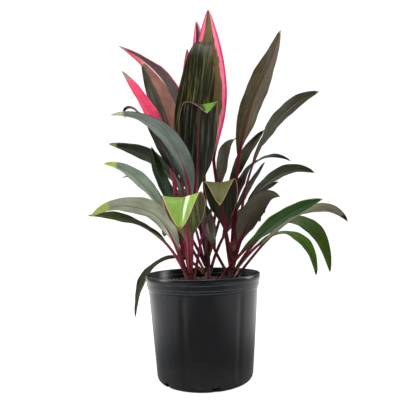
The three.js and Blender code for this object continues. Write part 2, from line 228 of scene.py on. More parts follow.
def leaf(at, long, wide, stalk, heading, lean, roll=(0, 0), **look):
    """One leaf: its seat above the soil, its size, its course from seat to tip, and its look."""
    return {
        "at": at, "long": long, "wide": wide, "stalk": stalk, "heading": heading,
        "lean": lean, "roll": roll, "look": {**LOOK, **look},
    }


LEAVES = {
    "left": [
        leaf(6, 284, 54, 65, (215, 215, 200), (20, 21, 30, 67, 92, 126), (0, 40),
             under=0xB2B8A4, streak=0x8A9278, rib=0x5A5040, tip=CHARTREUSE, tip_from=0.86,
             margin=STRAW),
        leaf(10, 212, 40, 110, (345, 375), (14, 12, 14, 25, 40, 60), over=NIGHT_GREEN,
             under=OLIVE, stem=0x86285A, rib=0x86285A),
        leaf(12, 262, 58, 80, (100, 116), (36, 50, 62, 74, 92, 112)),
        leaf(16, 245, 46, 80, (172, 197, 197), (26, 32, 48, 64, 80, 88), (0, -30),
             over=0x3A4A16, margin=BROWN, left=2.2, right=1.6, tip=BROWN),
        leaf(22, 258, 76, 70, (270, 266, 266), (24, 27, 30, 35, 62, 154, 165), (0, 8),
             over=LIME, under=0x665C48, streak=0x92AE62, streaks=0.6, margin=0xC49480,
             left=1.3, right=1.5, rib=0x8AA05A, tip=0x7A5A38, tip_from=0.965, flash=0xD4E0B4,
             flash_at=0.34, flash_width=0.15, flash_from=0.55, flash_to=0.96, flashed=0.85),
        leaf(26, 284, 50, 100, (200, 190), (20, 18, 24, 38, 52, 84), (0, 30),
             under=0x8C9C8A, streak=0x76866E, tip=CHARTREUSE, tip_from=0.9, margin=GREY_GREEN),
        leaf(31, 384, 48, 140, (290, 188), (19, 9, 15, 34, 60, 96), (0, 15),
             under=0x7C8680, streak=0x9AA49C, tip=0xC4CCA4, tip_from=0.93, rib=0x5A5654),
        leaf(41, 296, 52, 130, (250, 186), (20, 5, 8, 18, 28, 36), (0, -60),
             over=0x0E2010, under=SLATE, streak=0x1C3420),
        leaf(51, 368, 30, 170, (204, 176), (24, 10, 3, 3, 5, 11, 23, 32, 43, 60, 215),
             over=0x4A4630, under=0x6C6248, streak=SMOKE, tip=BLACK_TIP, tip_from=0.93,
             rib=0xA06068),
        leaf(59, 422, 38, 190, (159, 168), (23, 4, 9, 22, 30, 37), (0, -40),
             over=HOT_PINK, under=CORAL, streak=0x7A3A34, streaks=0.55, margin=CORAL,
             rib=0xC04060, tip=0x8A7A74, tip_from=0.93, half=CORAL, halved=0.7),
        # Its two halves are one face painted in light and shade: the right half tan-pink as lit with
        # sheen, the left half dark green
        leaf(66, 445, 56, 200, (110, 160), (18, 6, 12, 20, 25, 27), (0, -60),
             over=0x8E6A5E, streak=DUSK_PINK, under=GREY_OLIVE, rib=0x3C2018, rib_width=1.6,
             half=0x25310A, halved=1.0, margin=MAROON, tip=TAN),
        # Its flash paints the folded-over tip bright green: painted light on the flap's lit upper face
        leaf(64, 377, 76, 110, (306, 288, 276), (16, 12, 12, 13, 13, 14, 16, 26, 95, 118, 125),
             over=NIGHT_GREEN, under=0x25271A, streak=0x7A7A68, streaks=0.6, rib=0x7A3434,
             rib_width=1.6, margin=0x8A7256, left=1.0, right=0.8, flash=0x4E8418,
             flash_at=0.4, flash_width=0.6, flash_from=0.79, flash_to=1.1, flashed=0.95),
        leaf(96, 574, 56, 190, (80, 110, 132, 170), (14, 19, 24, 31, 45, 57), (0, -40),
             over=0x34120C, streak=0x521A1C, under=BROWN, margin=CRIMSON, left=3.0, right=3.2,
             rib=0xD09090, rib_width=3.6, half=CORAL, halved=0.85, tip=0x7A6460,
             tip_from=0.95),
        leaf(106, 402, 34, 150, (32, 116, 110, 90), (20, 12, 8, 6, 5, 4),
             over=0xBC6A64, under=0xA86058, streak=0x8A4A44, margin=HOT_PINK, left=3.0,
             right=2.0, rib=0xC07068, tip=0x4A3430),
        leaf(109, 458, 76, 100, (152, 50, 8, 8, 40, 110),
             (8, 8, 10, 10, 10, 10, 10, 10, 11, 52, 170), (0, 40, 82, 82, 50, -20),
             over=0x2C2E14, under=0x2C2E16, streak=0x7C7650, streaks=0.75, margin=MAROON,
             left=1.2, right=1.2, tip=CREAM, tip_from=0.97, rib=0x14140A),
    ],
    "right": [
        leaf(8, 300, 52, 80, (355, 368), (42, 41, 48, 62, 92, 138), (0, -25),
             over=0x46602A, under=0x807E66, streak=0x8C8474, rib=MAROON, tip=BLACK_TIP,
             tip_from=0.93),
        leaf(14, 428, 50, 80, (50, 20), (46, 56, 68, 98, 148, 174), (0, -30),
             over=0x3C6018, under=0x4A6620, streak=0x5C7C2C, tip=BLACK_TIP, tip_from=0.97),
        leaf(16, 164, 42, 60, (155, 130), (32, 32, 26, 14, 8, 7),
             over=0x3C3E30, under=0x4E4E3C, streak=0x7A7866, streaks=0.6, rib=0x8A8070),
        leaf(22, 275, 36, 80, (20, 14), (44, 49, 65, 112, 152, 176), (0, -20),
             over=0x548628, under=0x5A8430, streak=CHARTREUSE, streaks=0.3, margin=0x7A8A3C,
             tip=BLACK_TIP, tip_from=0.95),
        leaf(25, 268, 58, 90, (75, 54), (28, 36, 48, 64, 86, 110)),
        leaf(30, 193, 52, 55, (300, 343), (27, 26, 26, 34, 46, 112), (0, -45),
             over=BRONZE, under=0x625E50, streak=0x706A5C, rib=0x5C2630, gloss=0.5),
        leaf(36, 267, 62, 80, (250, 270), (26, 25, 27, 38, 114, 160),
             over=0x62663E, under=0x24261A, streak=0x6E6A48, streaks=0.3, margin=0x94765A,
             left=1.1, right=1.3, rib=0x5A3026),
        leaf(36, 220, 38, 80, (48, 10), (22, 19, 21, 32, 58, 62), (0, -40),
             over=DEEP_GREEN, under=0x253018, streak=0x3A4A2C),
        leaf(44, 285, 44, 100, (-6, 5), (18, 14, 22, 50, 74, 112), (0, -35),
             over=DEEP_GREEN, under=0x3C4A2C, streak=0x5A6444, tip=BLACK_TIP),
        leaf(50, 319, 38, 110, (78, 4), (18, 15, 20, 36, 72, 118), (0, -10),
             over=0x2A301C, under=0x3E4034, streak=0x5A5C50),
        leaf(60, 423, 50, 190, (25, 8), (16, 11, 20, 33, 48, 70), (0, -50),
             over=DEEP_GREEN, under=0x40422A, streak=0x5E5E42, rib=0x7A5048, margin=OLIVE),
        leaf(64, 468, 60, 190, (305, 378), (12, 3, 10, 20, 25, 16), (0, -60),
             over=BRONZE, under=0x4C4226, streak=0x7A6C46, streaks=0.5, rib=0x6A3C30,
             margin=0x5C4A3A),
        leaf(74, 538, 74, 190, (150, 95, 88), (13, 13, 10, 6, 4, 3),
             over=0x7C6E4C, under=BRONZE, streak=0x5A5428, streaks=0.6, margin=0xD42C60,
             left=2.6, right=5.4, band=5.2, band_colour=0xF47898, rib=0x54502C, tip=CRIMSON),
    ],
    "middle": [
        leaf(6, 264, 46, 70, (350, 354), (36, 43, 48, 54, 64, 72), (0, -50),
             over=MID_GREEN, under=0x2A5218, streak=0x4A7A2C, margin=0x8C9A40, left=1.2,
             right=1.6, rib=0x3A5A20, tip=0x8A8A3A),
    ],
    "back": [
        leaf(10, 278, 52, 70, (150, 172), (44, 68, 107, 140, 165, 170),
             over=0x6A6E4A, under=0x5C6044, streak=0x848668, rib=0x3A3A20, tip=STRAW),
        leaf(12, 286, 58, 90, (40, 62), (20, 32, 50, 72, 95, 115)),
        leaf(18, 290, 24, 130, (196, 182), (29, 28, 26, 35, 50, 107), over=MID_GREEN,
             under=0x26461A),
        leaf(22, 300, 58, 90, (100, 95), (24, 38, 56, 78, 100, 125)),
        leaf(27, 266, 40, 90, (5, 14), (23, 25, 29, 32, 33, 32), (0, -40),
             over=NIGHT_GREEN, under=0x1E2414),
        leaf(31, 282, 44, 90, (218, 192, 190), (28, 29, 28, 26, 18, 10), (0, -60),
             over=0x1E4A0E, under=DEEP_GREEN, streak=FRESH_GREEN, rib=DEEP_GREEN,
             margin=DEEP_GREEN),
        leaf(37, 364, 48, 150, (170, 188), (14, 14, 24, 40, 66, 78), (0, 40),
             over=DEEP_GREEN, under=0x1C2C10, streak=0x4A5640, tip=0x8A8C4C, tip_from=0.94,
             left=2.4, margin=0x5C6450),
        leaf(47, 310, 58, 110, (112, 124), (24, 30, 42, 60, 84, 104)),
        leaf(52, 319, 46, 150, (52, 30), (16, 16, 15, 12, 25, 114),
             over=0x44442C, under=0x4A4C38, streak=0x66684E),
        leaf(60, 295, 36, 140, (345, 364), (19, 18, 19, 26, 34, 42), (0, -50),
             over=OLIVE, under=0x55553E, streak=0x6E6E56),
        leaf(64, 410, 60, 160, (150, 90, 90), (14, 14, 20, 28, 38, 52), over=BRONZE,
             under=0x4A4028, margin=CRIMSON, left=2.0, right=2.0),
        leaf(78, 538, 50, 200, (96, 106), (12, 6, 5, 3, 3, 24),
             over=0x402A0C, under=BROWN, streak=0x5A2A18, margin=0xD0486A, left=5.0, right=4.0,
             band=2.0, band_colour=0xE87890, rib=0x8A3040, tip=HOT_PINK),
    ],
}


# Node graphs: each helper adds one node to a tree and gives back its output

def feed(tree, value, socket):
    if isinstance(value, bpy.types.NodeSocket):
        tree.links.new(value, socket)
    else:
        socket.default_value = value


def calc(tree, operation, *values):
    node = tree.nodes.new("ShaderNodeMath")
    node.operation = operation
    for value, socket in zip(values, node.inputs):
        feed(tree, value, socket)
    return node.outputs[0]


def blend(tree, share, first, second, kind="MIX"):
    node = tree.nodes.new("ShaderNodeMix")
    node.data_type = "RGBA"
    node.blend_type = kind
    feed(tree, share, node.inputs[0])
    feed(tree, first, node.inputs[6])
    feed(tree, second, node.inputs[7])
    return node.outputs[2]


def span(tree, value, low, high, start=0.0, end=1.0, smooth=True):
    """The value mapped from low..high to start..end, and held at both ends."""
    node = tree.nodes.new("ShaderNodeMapRange")
    node.interpolation_type = "SMOOTHSTEP" if smooth else "LINEAR"
    for given, socket in zip((value, low, high, start, end), node.inputs):
        feed(tree, given, socket)
    return node.outputs[0]


def triple(tree, x, y, z):
    node = tree.nodes.new("ShaderNodeCombineXYZ")
    for value, socket in zip((x, y, z), node.inputs):
        feed(tree, value, socket)
    return node.outputs[0]


def parts(tree, vector):
    node = tree.nodes.new("ShaderNodeSeparateXYZ")
    tree.links.new(vector, node.inputs[0])
    return node.outputs


def grains(tree, vector, scale, detail=2.0, rough=0.5):
    node = tree.nodes.new("ShaderNodeTexNoise")
    feed(tree, vector, node.inputs["Vector"])
    node.inputs["Scale"].default_value = scale
    node.inputs["Detail"].default_value = detail
    node.inputs["Roughness"].default_value = rough
    return node.outputs[0]


def attribute(tree, name):
    node = tree.nodes.new("ShaderNodeAttribute")
    node.attribute_name = name
    return node.outputs["Vector"]


def new_group(name, inputs, outputs):
    """An empty node group with these named sockets, and its input and output nodes."""
    group = bpy.data.node_groups.new(name, "ShaderNodeTree")
    for label, kind in inputs:
        group.interface.new_socket(label, in_out="INPUT", socket_type="NodeSocket" + kind)
    for label, kind in outputs:
        group.interface.new_socket(label, in_out="OUTPUT", socket_type="NodeSocket" + kind)
    return group, group.nodes.new("NodeGroupInput"), group.nodes.new("NodeGroupOutput")


def use_group(tree, group, **values):
    node = tree.nodes.new("ShaderNodeGroup")
    node.node_tree = group
    for name, value in values.items():
        feed(tree, value, node.inputs[name.replace("_", " ")])
    return node.outputs


def new_material(name):
    material = bpy.data.materials.new(name)
    material.use_nodes = True
    tree = material.node_tree
    return material, tree, tree.nodes["Principled BSDF"]


def stretched(tree, vector, level, upright):
    """A place scaled one way on the level and another upright, for grain that runs one way."""
    x, y, z = parts(tree, vector)
    return triple(tree, calc(tree, "MULTIPLY", x, level), calc(tree, "MULTIPLY", y, level),
                  calc(tree, "MULTIPLY", z, upright))


def bump(tree, height, distance, strength):
    node = tree.nodes.new("ShaderNodeBump")
    node.inputs["Strength"].default_value = strength
    node.inputs["Distance"].default_value = distance
    tree.links.new(height, node.inputs["Height"])
    return node.outputs[0]


# The painting of a leaf: lengthwise streaks, fine veins, midrib, margins, stalk and tip.
# `leaf_place` holds the share across (-1 to 1), the distance from the seat and the half width,
# both in millimetres. `leaf_share` holds the shares along the blade and the whole leaf, and 1 on
# the back face.

VEIN_SLANT = 0.14
WIDEST_MARGIN = 0.34
WIDEST_BAND = 0.52
DRY_SHEATH = 0xA8785C


def make_leaf_group():
    inputs = [("Place", "Vector"), ("Share", "Vector"), ("Seed", "Float")]
    for key in LOOK:
        inputs.append((key.title().replace("_", " "), "Color" if key in COLOUR_KEYS else "Float"))
    outputs = [("Colour", "Color"), ("Roughness", "Float"), ("Height", "Float")]
    group, given, result = new_group("leaf painting", inputs, outputs)
    g = given.outputs
    across, distance, half = parts(group, g["Place"])
    blade, whole, under = parts(group, g["Share"])
    x = calc(group, "MULTIPLY", across, half)
    aside = calc(group, "ABSOLUTE", x)
    inward = calc(group, "SUBTRACT", half, aside)
    fan = calc(group, "SUBTRACT", aside, calc(group, "MULTIPLY", distance, VEIN_SLANT))

    def grain_of(from_rib, fine_across, fine_along, detail, rough):
        place = triple(group, calc(group, "MULTIPLY", from_rib, fine_across),
                       calc(group, "MULTIPLY", distance, fine_along), g["Seed"])
        return grains(group, place, 1.0, detail, rough)

    streak_noise = grain_of(x, 0.42, 0.012, 3.0, 0.6)
    veins = grain_of(fan, 0.95, 0.006, 1.0, 0.4)
    patches = grain_of(x, 0.05, 0.022, 3.0, 0.55)

    # The two faces, the left half's colour, the streaks and the broad patches. On one leaf the halves
    # are
    # painted light and shade: a shaded left half beside a right half painted as lit with sheen.
    leftward = span(group, across, -0.04, 0.08)
    top = blend(group, calc(group, "MULTIPLY", leftward, g["Halved"]), g["Over"], g["Half"])
    colour = blend(group, under, top, g["Under"])
    streaky = calc(group, "MULTIPLY", span(group, streak_noise, 0.48, 0.66), g["Streaks"])
    colour = blend(group, streaky, colour, g["Streak"])
    light = calc(group, "ADD", span(group, patches, 0.3, 0.7, 0.72, 1.22, False),
                 span(group, veins, 0.3, 0.7, -0.09, 0.09, False))
    colour = blend(group, 1.0, colour, triple(group, light, light, light), "MULTIPLY")

    # One bright stripe, with soft sides that wander with the grain. On one leaf it is painted light: a
    # painted patch of light on the folded-over tip.
    wander = calc(group, "MULTIPLY", calc(group, "SUBTRACT", streak_noise, 0.5), 0.2)
    off = calc(group, "ABSOLUTE", calc(group, "SUBTRACT", calc(group, "ADD", across, wander),
                                       g["Flash At"]))
    wide_enough = calc(group, "SUBTRACT", 1.0,
                       span(group, off, calc(group, "MULTIPLY", g["Flash Width"], 0.6),
                            g["Flash Width"]))
    begun = span(group, whole, g["Flash From"], calc(group, "ADD", g["Flash From"], 0.03))
    over_yet = span(group, whole, calc(group, "SUBTRACT", g["Flash To"], 0.06), g["Flash To"],
                    1.0, 0.0)
    stripe_and_painted_light = calc(group, "MULTIPLY", calc(group, "MULTIPLY", wide_enough, begun),
                  calc(group, "MULTIPLY", over_yet, g["Flashed"]))
    stripe_and_painted_light = calc(group, "MULTIPLY", stripe_and_painted_light, calc(group, "SUBTRACT", 1.0, under))
    colour = blend(group, stripe_and_painted_light, colour, g["Flash"])

    # Margins, with an uneven inner side and a paler band within
    side = span(group, across, -0.05, 0.05)
    jag = calc(group, "MULTIPLY", calc(group, "SUBTRACT", patches, 0.5), 1.6)
    jag = calc(group, "ADD", jag, calc(group, "MULTIPLY",
                                       calc(group, "SUBTRACT", streak_noise, 0.5), 1.4))
    width = span(group, side, 0.0, 1.0, g["Right"], g["Left"], False)
    width = calc(group, "MULTIPLY", width, calc(group, "ADD", 1.0, jag))
    width = calc(group, "MINIMUM", width, calc(group, "MULTIPLY", half, WIDEST_MARGIN))
    inner = calc(group, "ADD", width,
                 calc(group, "MULTIPLY", g["Band"], calc(group, "ADD", 1.0, jag)))
    inner = calc(group, "MINIMUM", inner, calc(group, "MULTIPLY", half, WIDEST_BAND))
    on_blade = span(group, blade, 0.02, 0.2)
    banded = calc(group, "MULTIPLY", on_blade,
                  span(group, inward, calc(group, "SUBTRACT", inner, 0.5), inner, 1.0, 0.0))
    banded = calc(group, "MULTIPLY", banded, span(group, g["Band"], 0.0, 0.5))
    colour = blend(group, banded, colour, g["Band Colour"])
    edged = calc(group, "MULTIPLY", on_blade,
                 span(group, inward, calc(group, "MULTIPLY", width, 0.55), width, 1.0, 0.0))
    colour = blend(group, edged, colour, g["Margin"])

    # The midrib takes the stalk's colour low on the blade, and its own further up
    rib_colour = blend(group, span(group, blade, 0.15, 0.6), g["Stem"], g["Rib"])
    rib_side = calc(group, "MULTIPLY", g["Rib Width"],
                    span(group, blade, 0.0, 1.0, 1.5, 0.6, False))
    ribbed = span(group, aside, calc(group, "MULTIPLY", rib_side, 0.5), rib_side, 1.0, 0.0)
    ribbed = calc(group, "MULTIPLY", ribbed, span(group, whole, 0.8, 0.97, 0.85, 0.0))
    colour = blend(group, ribbed, colour, rib_colour)

    # Tip and stalk, whose base fades to a pale dry sheath
    tipped = span(group, calc(group, "ADD", whole, calc(group, "MULTIPLY", wander, 0.2)),
                  g["Tip From"], calc(group, "ADD", g["Tip From"], 0.02))
    colour = blend(group, tipped, colour, g["Tip"])
    stalk_light = span(group, streak_noise, 0.3, 0.7, 0.6, 1.7, False)
    lined = blend(group, 1.0, g["Stem"], triple(group, stalk_light, stalk_light, stalk_light),
                  "MULTIPLY")
    dry = span(group, distance, 4.0, 34.0, 0.55, 0.0)
    lined = blend(group, calc(group, "MULTIPLY", dry, span(group, patches, 0.35, 0.6)), lined,
                  paint(DRY_SHEATH))
    wedge = span(group, blade, 0.0, 0.34, 6.4, 0.9, False)
    wedge = calc(group, "MULTIPLY", wedge, span(group, streak_noise, 0.3, 0.7, 0.8, 1.2, False))
    stalky = span(group, aside, calc(group, "MULTIPLY", wedge, 0.6), wedge, 1.0, 0.0)
    stalky = calc(group, "MULTIPLY", stalky, span(group, blade, 0.18, 0.45, 1.0, 0.0))
    colour = blend(group, stalky, colour, lined)

    roughness = calc(group, "ADD", g["Gloss"], calc(group, "MULTIPLY", under, 0.14))
    roughness = calc(group, "ADD", roughness, span(group, patches, 0.3, 0.7, -0.06, 0.08, False))
    veiny = calc(group, "MULTIPLY", veins, calc(group, "SUBTRACT", 1.0, stalky))
    pimples = calc(group, "MULTIPLY", streak_noise, 0.6)
    for value, name in ((colour, "Colour"), (roughness, "Roughness"),
                        (calc(group, "ADD", veiny, pimples), "Height")):
        group.links.new(value, result.inputs[name])
    return group


LEAF_GROUP = make_leaf_group()
LEAF_SHINE = 0.14
DEEPEN = 1.22
ROSE_STEM = 0x8E4252


def deep(code):
    """A leaf colour a little deeper than its screen code, as pigment under a waxy skin is."""
    red, green, blue, whole = paint(code)
    return red ** DEEPEN, green ** DEEPEN, blue ** DEEPEN, whole


def leaf_material(name, look, seed):
    material, tree, shader = new_material(name)
    values = {}
    for key, value in look.items():
        if key in DEEP_KEYS:
            value = deep(value)
        elif key in COLOUR_KEYS:
            value = paint(value)
        values[key.title()] = value
    painted = use_group(tree, LEAF_GROUP, Place=attribute(tree, "leaf_place"),
                        Share=attribute(tree, "leaf_share"), Seed=seed, **values)
    tree.links.new(painted["Colour"], shader.inputs["Base Color"])
    tree.links.new(painted["Roughness"], shader.inputs["Roughness"])
    tree.links.new(bump(tree, painted["Height"], distance=0.0006, strength=0.6), shader.inputs["Normal"])
    shader.inputs["Specular IOR Level"].default_value = LEAF_SHINE
    return material


# Leaves

def section(row, distance):
    """Half width, V fold, thickness at the midrib and the edge, and share along the blade."""
    sheath = min(distance / SHEATH_LENGTH, 1)
    blade = clamp((distance - row["stalk"]) / (row["long"] - row["stalk"]))
    whole = distance / row["long"]
    stalk_half = mix(mix(SHEATH_HALF_WIDTH, STALK_HALF_WIDTH, sheath), TIP_HALF_WIDTH, blade)
    bow = math.sin(math.pi * blade ** SKEW)
    swell = max(bow, 0.0) ** (FILL_OUT if blade < WIDEST_AT else THIN_OUT)
    half = stalk_half + (row["wide"] / 2 - STALK_HALF_WIDTH / 2) * swell
    close = clamp((row["long"] - distance) / TIP_ROUND)
    half *= mix(TIP_BLUNT, 1.0, math.sqrt(close))
    fold = mix(mix(SHEATH_FOLD, STALK_FOLD, sheath), BLADE_FOLD, min(blade / OPEN_AT, 1))
    fold = mix(fold, TIP_FOLD, max(0, blade - 0.5) * 2)
    keel = mix(KEEL_BASE, KEEL_TIP, min(whole / THIN_AT, 1)) * mix(0.5, 1.0, close)
    edge = mix(EDGE_BASE, EDGE_TIP, min(whole * 2, 1))
    return half, fold, keel, edge, blade


def midrib(cane, row):
    """The midrib as links from the seat to the tip: share, place, side and upward directions."""
    drift = compass(cane["heading"]) * (row["at"] * math.tan(math.radians(cane["lean"])))
    place = Vector((*cane["foot"], SOIL_TOP + row["at"])) + drift
    place += compass(row["heading"][0]) * (CANE_RADIUS + SEAT_GAP)
    steps = round(row["long"] / STEP)
    links = []
    for i in range(steps + 1):
        t = i / steps
        heading = along(row["heading"], t)
        lean = math.radians(along(row["lean"], t))
        roll = math.radians(along(row["roll"], t))
        forward = compass(heading) * math.sin(lean)
        forward.z = math.cos(lean)
        if i:
            place = place + forward * (row["long"] / steps)
        across = compass(heading + 90)
        flat = forward.cross(across)
        side = across * math.cos(roll) + flat * math.sin(roll)
        up = flat * math.cos(roll) - across * math.sin(roll)
        if i % 2 == 0 or i == steps:
            links.append((t, place, side, up))
    return links


def skin(row, link, column, phase):
    """The point of one ring at a column that runs over the upper face and back under it."""
    t, place, side, up = link
    count = len(ACROSS)
    under = count <= column < 2 * count
    k = ACROSS[2 * count - 1 - column] if under else ACROSS[column % (2 * count)]
    distance = t * row["long"]
    half, fold, keel, edge, blade = section(row, distance)
    turn = math.radians(fold)
    swing = math.sin(math.pi * blade)
    lift = abs(k) ** 1.5 * half * math.sin(turn)
    lift += WAVE * swing * k * k * math.sin(2 * math.pi * distance / WAVE_LENGTH + phase + 2 * k)
    lift += CRIMP * swing * abs(k) ** 3 * math.sin(distance / CRIMP_LENGTH + 1.7 * phase - 3 * k)
    from_rib = k * half
    groove = math.exp(-((from_rib / GROOVE_REACH) ** 2)) * GROOVE_DEPTH * min(blade * 8, 1)
    point = place + side * (from_rib * math.cos(turn)) + up * (lift - groove)
    if under:
        reach = mix(KEEL_REACH_BASE, KEEL_REACH_TIP, min(blade * 3, 1))
        rib = math.exp(-((from_rib / reach) ** 2))
        thick = edge * mix(0.75, 1.0, 1 - abs(k) ** 6) + (keel - edge) * rib
        face = up * math.cos(turn * k) - side * math.sin(turn * k)
        point = point - face * thick
    return point, (k, distance, half), (blade, t, 1.0 if under else 0.0)


def new_piece(bm, name, material, smooth=True):
    bmesh.ops.recalc_face_normals(bm, faces=bm.faces)
    mesh = bpy.data.meshes.new(name)
    bm.to_mesh(mesh)
    bm.free()
    piece = bpy.data.objects.new(name, mesh)
    bpy.context.scene.collection.objects.link(piece)
    mesh.materials.append(material)
    for face in mesh.polygons:
        face.use_smooth = smooth
    return piece


def turned(outline, turns):
    """A mesh swept round the upright axis, from points of radius and height."""
    bm = bmesh.new()
    spots = [bm.verts.new((radius, 0, height)) for radius, height in outline]
    line = [bm.edges.new(pair) for pair in zip(spots, spots[1:])]
    bmesh.ops.spin(bm, geom=spots + line, cent=(0, 0, 0), axis=(0, 0, 1),
                   angle=2 * math.pi, steps=turns, use_merge=True, use_duplicate=False)
    bmesh.ops.remove_doubles(bm, verts=bm.verts, dist=JOIN_WITHIN)
    return bm


def make_leaf(cane_name, number, row):
    """A grid wrapped round the midrib as a closed sleeve, with its seam joined and ends filled."""
    links = midrib(CANES[cane_name], row)
    rounds = 2 * len(ACROSS)
    bm = bmesh.new()
    bmesh.ops.create_grid(bm, x_segments=rounds, y_segments=len(links) - 1, size=0.5)
    place_layer = bm.verts.layers.float_vector.new("leaf_place")
    share_layer = bm.verts.layers.float_vector.new("leaf_share")
    for vertex in bm.verts:
        column = round((vertex.co.x + 0.5) * rounds)
        link = links[round((vertex.co.y + 0.5) * (len(links) - 1))]
        point, place, share = skin(row, link, column, number - 1)
        vertex.co = point * MM
        vertex[place_layer] = place
        vertex[share_layer] = share
    bmesh.ops.remove_doubles(bm, verts=bm.verts, dist=1e-6)
    rims = [edge for edge in bm.edges if edge.is_boundary]
    bmesh.ops.holes_fill(bm, edges=rims, sides=0)
    name = f"{cane_name}_leaf_{number}"
    seed = number * LEAF_SEED + len(cane_name) * CANE_SEED
    look = row["look"]
    if cane_name == "left" and look["stem"] == WINE:
        look["stem"] = ROSE_STEM
    piece = new_piece(bm, name, leaf_material(name, look, seed))
    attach(piece, "root")
    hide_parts(f"leaf_{cane_name}_{number}")


for cane_name, rows in LEAVES.items():
    for number, row in enumerate(rows, 1):
        make_leaf(cane_name, number, row)


# Pot

POT_BLACK = 0x030406
POT_BLUE = 0x080A11
POT_DUST = 0x2C3034
FOOT_DUST = 0x55554C
SCUFF = 0x9A9A92
PALE_BAND_EDGE = 0x59616C
POT_SHINE = 0.26


def wall_radius(height):
    return mix(FOOT_RADIUS, WALL_TOP_RADIUS, height / (POT_HEIGHT - COLLAR_HEIGHT))


def pot_outline():
    """The pot's outer face from the middle of the floor to the rim, as radius and height."""
    foot = POT_HEIGHT - COLLAR_HEIGHT
    low = RIM_RADIUS - 2 * BAND_STEP
    middle = RIM_RADIUS - BAND_STEP
    top = foot + LOW_BAND + MID_BAND
    points = [(reach, FLOOR_UNDERSIDE) for reach in (0, 30, 60, 80)]
    points.append((84, 0.2))
    for i in range(CORNER_STEPS):
        turn = i / (CORNER_STEPS - 0.6) * math.pi / 2
        reach = FOOT_RADIUS - CORNER_RADIUS * (1 - math.sin(turn))
        points.append((reach, CORNER_RADIUS * (1 - math.cos(turn))))
    points += [(wall_radius(z), z) for z in (10, 12, 14)]
    points += [(wall_radius(z), z) for z in range(22, foot - 6, 8)]
    points += [(wall_radius(foot - 4), foot - 4), (WALL_TOP_RADIUS, foot - 0.4)]
    points += [
        (low - 0.3, foot + BAND_SLOPE - 0.4), (low, foot + BAND_SLOPE + 0.2),
        (low, foot + LOW_BAND - 0.3), (low + 0.2, foot + LOW_BAND),
        (middle - 0.3, foot + LOW_BAND + BAND_SLOPE - 0.3), (middle, foot + LOW_BAND + 2),
        (middle, top - 0.3), (middle + 0.2, top), (RIM_RADIUS - 0.3, top + BAND_SLOPE - 0.3),
        (RIM_RADIUS, top + BAND_SLOPE + 0.4), (RIM_RADIUS, POT_HEIGHT - 1.8),
        (RIM_RADIUS - 0.5, POT_HEIGHT - 0.5), (RIM_RADIUS - 1.4, POT_HEIGHT),
        (RIM_RADIUS - 2.6, POT_HEIGHT - 0.5), (RIM_RADIUS - 3.4, POT_HEIGHT - 3),
        (low - 2.6, foot + LOW_BAND), (WALL_TOP_RADIUS - WALL, foot - 1),
    ]
    points += [(wall_radius(z) - WALL, z) for z in range(foot - 8, 12, -12)]
    points.append((FOOT_RADIUS - 2.8, 9))
    return points + [(reach, FLOOR_TOP) for reach in (FOOT_RADIUS - CORNER_RADIUS, 60, 0)]


def from_nearest(angle, first, count):
    """How far an angle is from the nearest of some evenly spaced ones, in degrees."""
    pitch = 360 / count
    return abs((angle - first + pitch / 2) % pitch - pitch / 2)


def press_flute(x, y, z):
    """How far the wall is pressed in by its flutes, in millimetres."""
    angle = math.degrees(math.atan2(y, x))
    off = from_nearest(angle, FIRST_FLUTE, FLUTES)
    ends = clamp((z - 9) / 9) * clamp((POT_HEIGHT - COLLAR_HEIGHT - 2 - z) / 9)
    return FLUTE_DEPTH * ends * clamp(1 - off / FLUTE_REACH)


def sag(x, y, z):
    """A thin moulded wall is never quite round."""
    wave = noise.noise(Vector((x, y, z * 0.35)) / SAG_LENGTH)
    return SAG * wave * clamp(z / 40)


def in_drain(point):
    """How far inside a drain hole a point lies: 1 at its middle, 0 on its edge."""
    angle = math.degrees(math.atan2(point.y, point.x))
    off = from_nearest(angle, FIRST_FLUTE + DRAIN_FROM_FLUTE, FLUTES)
    aside = math.radians(off) * FOOT_RADIUS / DRAIN_HALF_WIDTH
    reach = math.hypot(point.x, point.y)
    if reach < DRAIN_INNER_RADIUS:
        inward = (DRAIN_INNER_RADIUS - reach) / 5 + 0.5
    else:
        inward = max(point.z - DRAIN_MIDDLE, 0) / (DRAIN_TOP - DRAIN_MIDDLE)
    return 1 - math.hypot(aside, inward)


def make_pot():
    bm = turned(pot_outline(), POT_TURNS)
    for vertex in bm.verts:
        x, y, z = vertex.co
        reach = math.hypot(x, y)
        if reach > 1 and z > 0.1:
            inward = press_flute(x, y, z) - sag(x, y, z)
            vertex.co.x -= x / reach * inward
            vertex.co.y -= y / reach * inward
    cut = [face for face in bm.faces if in_drain(face.calc_center_median()) > 0]
    bmesh.ops.delete(bm, geom=cut, context="FACES")
    rims = [edge for edge in bm.edges if edge.is_boundary]
    bmesh.ops.bridge_loops(bm, edges=rims)
    bmesh.ops.scale(bm, vec=(MM, MM, MM), verts=bm.verts)
    piece = new_piece(bm, "nursery_pot", pot_material())
    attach(piece, "root")
    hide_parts("pot")


